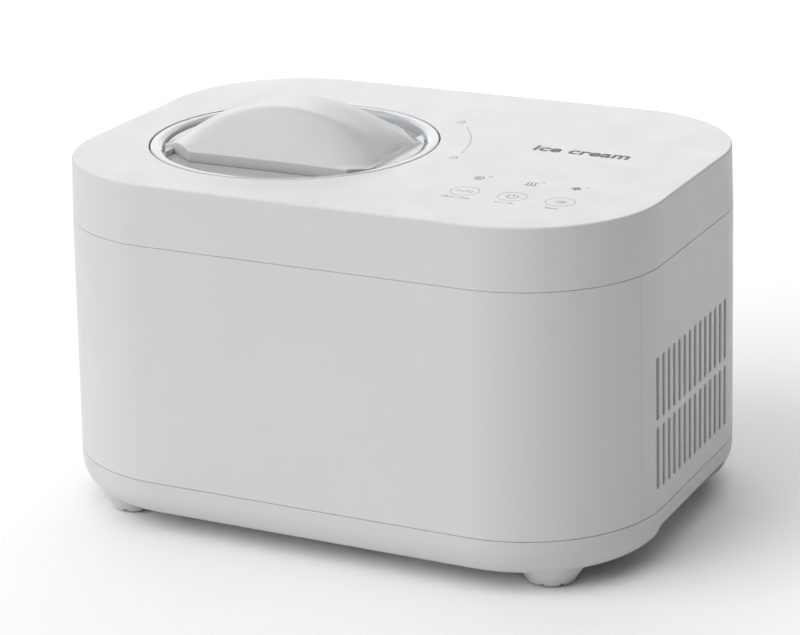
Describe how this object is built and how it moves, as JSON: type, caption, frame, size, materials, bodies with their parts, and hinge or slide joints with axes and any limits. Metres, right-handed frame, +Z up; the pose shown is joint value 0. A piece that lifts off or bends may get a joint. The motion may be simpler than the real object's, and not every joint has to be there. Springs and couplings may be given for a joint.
{
  "type": "ice cream maker",
  "caption": "Worktop compressor ice cream maker: low case with large rounded corners, turn-lock lid with a vault handle, lift-out bowl and paddle, side vents and touch keys.",
  "frame": {"origin": "on the floor under the middle of the case", "axes": "+Z up, front face towards -Y, lid on the -X side, touch keys on the +X side"},
  "size_m": [0.3948, 0.2888, 0.2533],
  "materials": {
    "case_plastic": "satin white moulded plastic",
    "base_plastic": "fine matt white moulded plastic",
    "foot_rubber": "matt",
    "clear_plastic": "polished clear plastic",
    "smoke_plastic": "polished smoky clear plastic",
    "handle_plastic": "satin white moulded plastic",
    "seal_rubber": "soft silicone",
    "bowl_aluminium": "brushed",
    "paddle_plastic": "moulded",
    "nylon": "moulded",
    "dark_plastic": "moulded",
    "foam": "closed-cell foam",
    "copper": "drawn copper tube",
    "steel": "bright",
    "black_steel": "black paint",
    "lamination": "stacked steel sheets and windings",
    "fin_aluminium": "thin sheet",
    "gear_plastic": "acetal",
    "zinc": "zinc plated",
    "board": "circuit board",
    "bronze": "sintered bronze"
  },
  "bodies": {
    "housing": {"top_cover": "case_plastic", "front_shell": "case_plastic", "rear_shell": "case_plastic", "base_tray": "base_plastic", "foot_pads": "foot_rubber", "case_screws": "zinc", "cord_gland": "dark_plastic", "cooling_well": "bowl_aluminium", "well_gasket": "seal_rubber", "evaporator_coil": "copper", "insulation_foam": "foam", "temperature_sensor": "steel", "shaft_seal": "foot_rubber", "gearbox_base": "dark_plastic", "gearbox_cover": "dark_plastic", "compound_pin": "steel", "motor_can": "zinc", "lower_bush": "bronze", "upper_bush": "bronze", "compressor_base": "black_steel", "compressor_cap": "black_steel", "compressor_stator": "lamination", "compressor_pump": "lamination", "compressor_plate": "zinc", "compressor_grommets": "foot_rubber", "relay_cover": "dark_plastic", "condenser_tubes": "copper", "condenser_fins": "fin_aluminium", "fan_frame": "dark_plastic", "discharge_line": "copper", "liquid_line": "copper", "filter_drier": "copper", "capillary_tube": "copper", "suction_line": "copper", "touch_board": "board", "touch_pads": "seal_rubber", "power_board": "board"},
    "bowl": {"bowl": "bowl_aluminium"},
    "paddle_carrier": {"paddle_bush": "nylon"},
    "paddle": {"paddle": "paddle_plastic"},
    "lid_seal": {"lid_seal": "seal_rubber"},
    "lid": {"lid_ring": "clear_plastic", "lid_window": "smoke_plastic", "lid_handle": "handle_plastic", "handle_screws": "steel"},
    "drive_shaft": {"drive_shaft": "steel", "output_gear": "gear_plastic"},
    "compound_gear": {"compound_gear": "gear_plastic"},
    "motor_rotor": {"motor_rotor": "steel"},
    "fan": {"fan_rotor": "dark_plastic"},
    "crankshaft": {"compressor_rotor": "lamination"}
  },
  "joints": [
    {"name": "bowl_lift", "type": "slide", "parent": "housing", "child": "bowl", "axis": [0, 0, 1], "range_m": [0, 0.16]},
    {"name": "paddle_lift", "type": "slide", "parent": "bowl", "child": "paddle_carrier", "axis": [0, 0, 1], "range_m": [0, 0.12]},
    {"name": "lid_lift", "type": "slide", "parent": "paddle_carrier", "child": "lid_seal", "axis": [0, 0, 1], "range_m": [0, 0.12]},
    {"name": "lid_turn", "type": "hinge", "parent": "lid_seal", "child": "lid", "pos_m": [-0.0691, -0.0132, 0.22], "axis": [0, 0, 1], "range_deg": [0, 45]},
    {"name": "paddle_spin", "type": "hinge", "parent": "paddle_carrier", "child": "paddle", "pos_m": [-0.0691, -0.0132, 0.15], "axis": [0, 0, 1], "continuous": true},
    {"name": "drive_shaft_spin", "type": "hinge", "parent": "housing", "child": "drive_shaft", "pos_m": [-0.0691, -0.0132, 0.1], "axis": [0, 0, 1], "continuous": true},
    {"name": "compound_gear_spin", "type": "hinge", "parent": "housing", "child": "compound_gear", "pos_m": [-0.0691, 0.03993, 0.06], "axis": [0, 0, 1], "continuous": true},
    {"name": "motor_rotor_spin", "type": "hinge", "parent": "housing", "child": "motor_rotor", "pos_m": [-0.0351, 0.03993, 0.04], "axis": [0, 0, 1], "continuous": true},
    {"name": "fan_spin", "type": "hinge", "parent": "housing", "child": "fan", "pos_m": [0.15, 0, 0.092], "axis": [1, 0, 0], "continuous": true},
    {"name": "crankshaft_spin", "type": "hinge", "parent": "housing", "child": "crankshaft", "pos_m": [0.088, 0.015, 0.08], "axis": [0, 0, 1], "continuous": true}
  ],
  "couplings": [
    {"joint": "compound_gear_spin", "follows": "drive_shaft_spin", "ratio": -4},
    {"joint": "motor_rotor_spin", "follows": "drive_shaft_spin", "ratio": 16},
    {"joint": "paddle_spin", "follows": "drive_shaft_spin", "ratio": 1}
  ]
}
